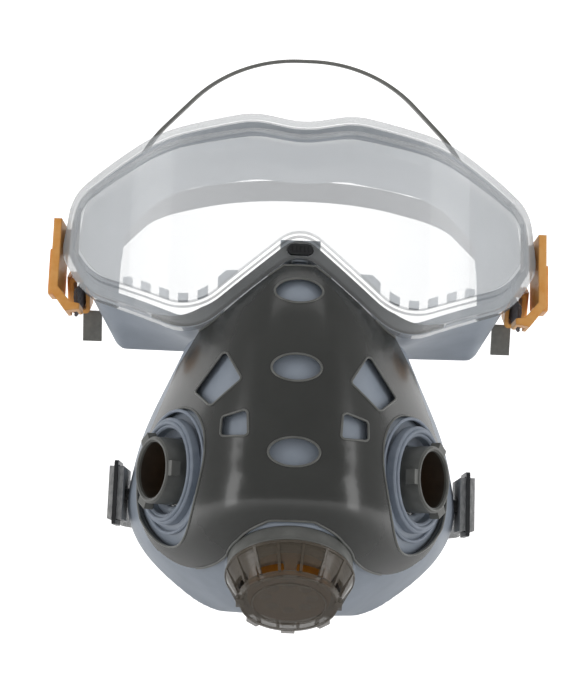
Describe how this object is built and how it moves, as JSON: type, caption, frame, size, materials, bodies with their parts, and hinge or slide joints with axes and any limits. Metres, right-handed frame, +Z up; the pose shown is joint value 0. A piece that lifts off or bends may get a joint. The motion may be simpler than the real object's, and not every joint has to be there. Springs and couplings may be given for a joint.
{
  "type": "half-mask respirator with goggle visor",
  "caption": "Half-mask respirator joined to a clear wrap-around goggle visor, with two side filter inlets, a chin exhale valve, swivelling side clips, and head, crown and neck straps.",
  "frame": {"origin": "on the mid-plane, at the plane where the mask meets the face, level with the nose notch of the visor pane", "axes": "+Y points from the mask's front towards the wearer's head, +Z up, X across the face"},
  "size_m": [0.1916, 0.2593, 0.2429],
  "materials": {
    "clear_lens": "clear polycarbonate, hazed at the edges",
    "rim_grey": "satin",
    "silicone": "matte light blue-grey silicone",
    "dark_shell": "glossy dark warm grey",
    "black_plastic": "satin black",
    "tube_grey": "satin mid grey",
    "smoked_clear": "smoked translucent",
    "amber": "amber orange",
    "orange": "satin light orange",
    "valve_rubber": "thin translucent rubber",
    "strap_grey": "woven elastic",
    "strap_dark": "matte dark grey",
    "metal_pin": "brushed"
  },
  "bodies": {
    "mask": {"visor_lens": "clear_lens", "visor_frame": "rim_grey", "visor_seal": "silicone", "vent_combs": "rim_grey", "latch_housing": "rim_grey", "front_shield": "dark_shell", "facepiece": "silicone", "valve_housing": "tube_grey", "exhale_seat": "tube_grey", "valve_guard": "amber", "filter_gasket_left": "silicone", "inlet_tube_left": "tube_grey", "inhale_seat_left": "amber", "pivot_pin_left": "metal_pin", "neck_stud_left": "black_plastic", "filter_gasket_right": "silicone", "inlet_tube_right": "tube_grey", "inhale_seat_right": "amber", "pivot_pin_right": "metal_pin", "neck_stud_right": "black_plastic"},
    "valve_cap": {"exhale_valve_cap": "smoked_clear"},
    "exhale_flap_body": {"exhale_flap": "valve_rubber"},
    "nose_latch_body": {"nose_latch": "black_plastic"},
    "head_harness": {"head_strap": "strap_grey", "crown_strap": "strap_dark", "side_clip_left": "orange", "strap_buckle_left": "orange", "crown_stud_left": "black_plastic", "strap_tail_left": "strap_dark", "side_clip_right": "orange", "strap_buckle_right": "orange", "crown_stud_right": "black_plastic", "strap_tail_right": "strap_dark"},
    "neck_harness": {"neck_strap": "strap_grey", "neck_clasp": "black_plastic", "neck_hook_left": "black_plastic", "neck_loop_left": "strap_grey", "neck_hook_right": "black_plastic", "neck_loop_right": "strap_grey"},
    "inhale_flap_left_body": {"inhale_flap_left": "valve_rubber"},
    "clip_release_left_body": {"clip_release_left": "orange"},
    "buckle_lever_left_body": {"buckle_lever_left": "orange"},
    "inhale_flap_right_body": {"inhale_flap_right": "valve_rubber"},
    "clip_release_right_body": {"clip_release_right": "orange"},
    "buckle_lever_right_body": {"buckle_lever_right": "orange"}
  },
  "joints": [
    {"name": "valve_cap_turn", "type": "hinge", "parent": "mask", "child": "valve_cap", "pos_m": [0, -0.07, -0.1165], "axis": [0, -0.5446, -0.8387], "range_deg": [0, 30]},
    {"name": "exhale_flap_lift", "type": "slide", "parent": "mask", "child": "exhale_flap_body", "axis": [0, -0.5446, -0.8387], "range_m": [0, 0.0012], "stiffness_N_per_m": 40},
    {"name": "nose_latch_press", "type": "slide", "parent": "mask", "child": "nose_latch_body", "axis": [0, 1, 0], "range_m": [0, 0.0012], "stiffness_N_per_m": 400},
    {"name": "head_harness_swing", "type": "hinge", "parent": "mask", "child": "head_harness", "pos_m": [0, 0.0158, 0.011], "axis": [1, 0, 0], "range_deg": [-6, 35]},
    {"name": "neck_harness_swing", "type": "hinge", "parent": "mask", "child": "neck_harness", "pos_m": [0, -0.004, -0.088], "axis": [1, 0, 0], "range_deg": [-25, 30]},
    {"name": "inhale_flap_left_lift", "type": "slide", "parent": "mask", "child": "inhale_flap_left_body", "axis": [0.8339, 0.5519, 0], "range_m": [0, 0.0012], "stiffness_N_per_m": 40},
    {"name": "clip_release_left_press", "type": "slide", "parent": "head_harness", "child": "clip_release_left_body", "axis": [1, 0, 0], "range_m": [0, 0.0009], "stiffness_N_per_m": 400},
    {"name": "buckle_lever_left_tip", "type": "hinge", "parent": "head_harness", "child": "buckle_lever_left_body", "pos_m": [-0.09025, 0.02318, -0.00737], "axis": [0, -0.5104, 0.8599], "range_deg": [0, 10]},
    {"name": "inhale_flap_right_lift", "type": "slide", "parent": "mask", "child": "inhale_flap_right_body", "axis": [-0.8339, 0.5519, 0], "range_m": [0, 0.0012], "stiffness_N_per_m": 40},
    {"name": "clip_release_right_press", "type": "slide", "parent": "head_harness", "child": "clip_release_right_body", "axis": [-1, 0, 0], "range_m": [0, 0.0009], "stiffness_N_per_m": 400},
    {"name": "buckle_lever_right_tip", "type": "hinge", "parent": "head_harness", "child": "buckle_lever_right_body", "pos_m": [0.09025, 0.02318, -0.00737], "axis": [0, 0.5104, -0.8599], "range_deg": [0, 10]}
  ]
}
